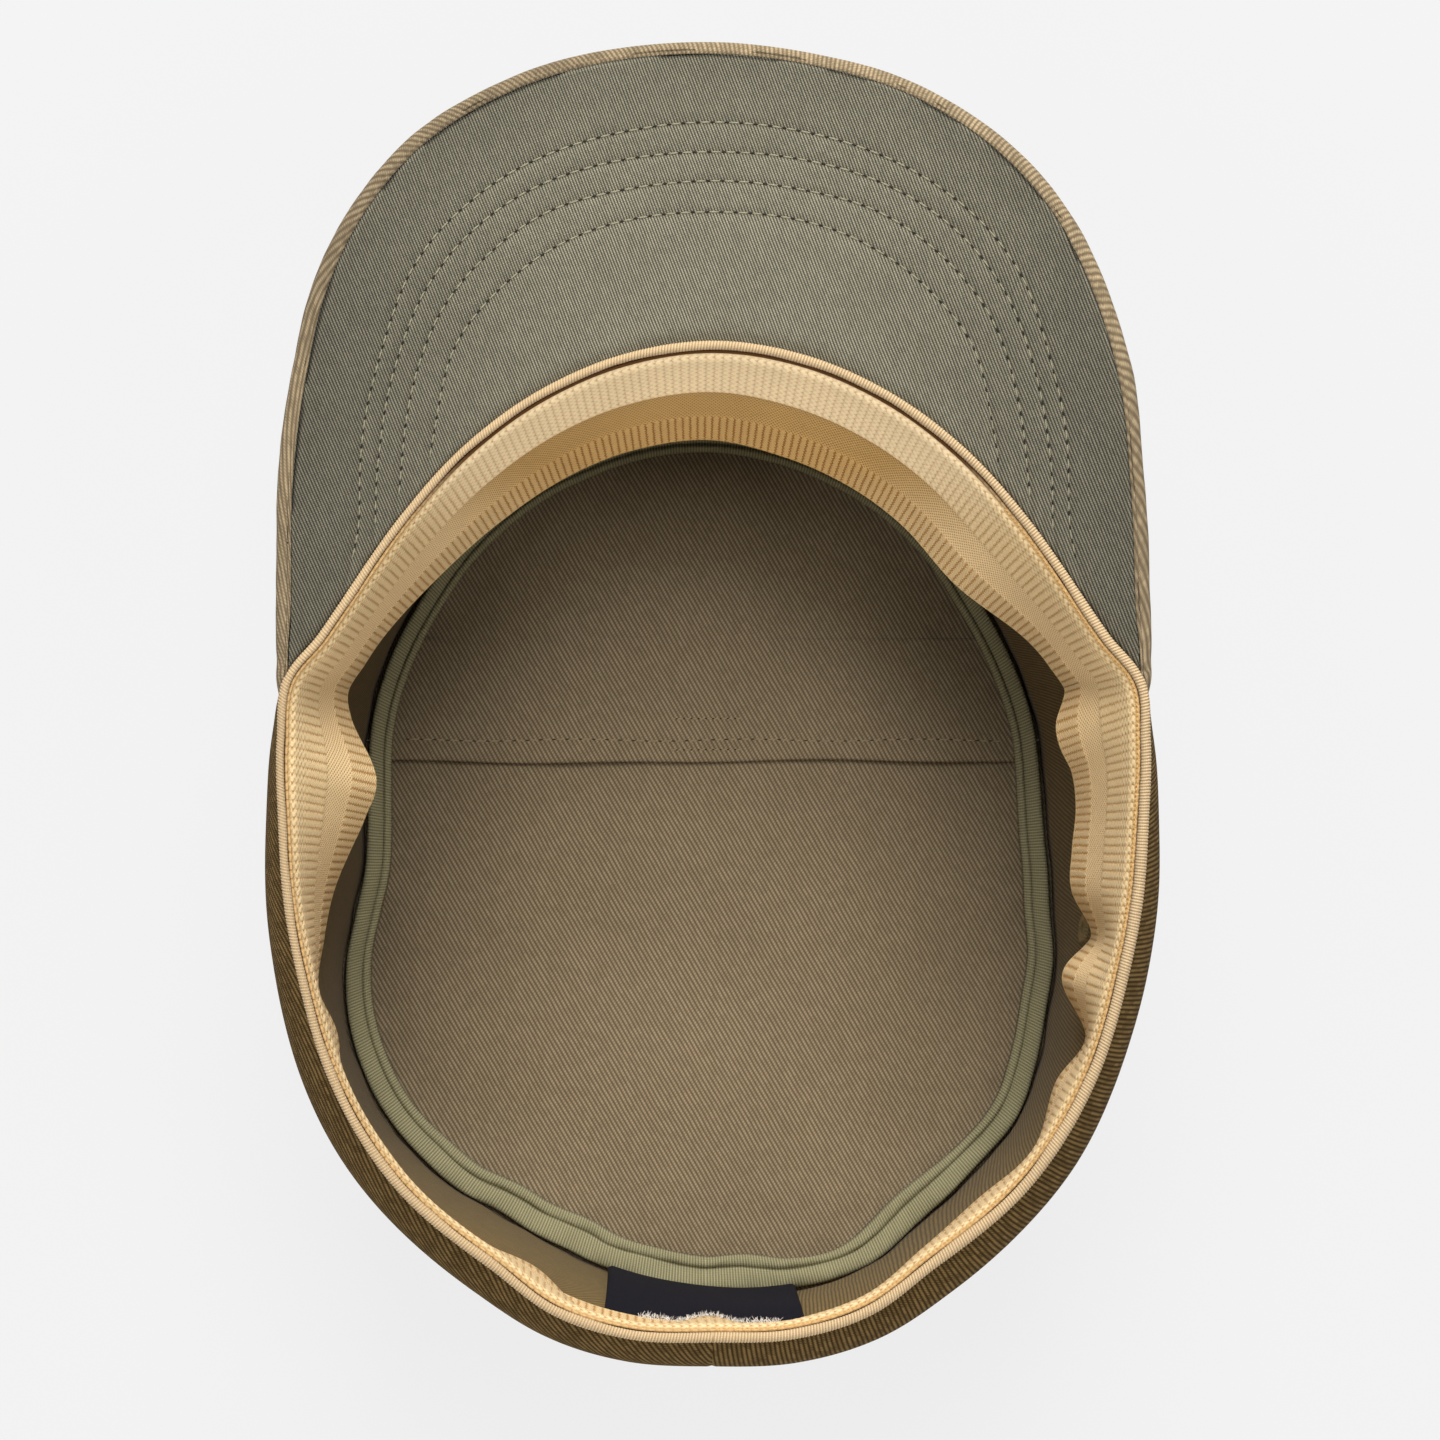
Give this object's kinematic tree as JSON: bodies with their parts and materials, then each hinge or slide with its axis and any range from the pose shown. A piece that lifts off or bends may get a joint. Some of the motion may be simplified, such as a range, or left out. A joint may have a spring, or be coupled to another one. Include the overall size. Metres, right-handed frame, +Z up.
{
  "type": "army cap",
  "caption": "Twill cap with a flat crown, upright wall, curved peak and wavy elastic sweatband, lying upside down on its crown with the opening up.",
  "frame": {"origin": "middle of the crown's flat outer face, which the cap lies on", "axes": "+Z up out of the opening, from the crown to the rim; -Y towards the peak, +Y towards the back; +X to the left as one looks into the opening with the peak at the top"},
  "size_m": [0.1807, 0.2664, 0.1102],
  "materials": {
    "crown_twill": "brown olive cotton twill with fine diagonal wales",
    "wall_twill": "dark brown olive cotton twill, coarse wales on the outside",
    "peak_twill": "tan twill with coarse wales",
    "peak_lining": "grey-green fine twill with rows of stitching",
    "sweatband_knit": "cream elastic knit with ribbed edges",
    "piping_rib": "cream cord covered with fine ribs",
    "binding_tape": "green ribbed tape with a stitched groove",
    "label_cloth": "navy woven cloth, bare",
    "vent_thread": "dark thread stitched round a hole"
  },
  "bodies": {
    "root": {"crown_top_front": "crown_twill", "crown_top_back": "crown_twill", "side_band": "wall_twill", "peak_cover": "peak_twill", "peak_underside": "peak_lining", "sweatband": "sweatband_knit", "sweatband_piping": "piping_rib", "seam_binding": "binding_tape", "size_label": "label_cloth", "vent_eyelet_left": "vent_thread", "vent_eyelet_right": "vent_thread"}
  },
  "joints": []
}
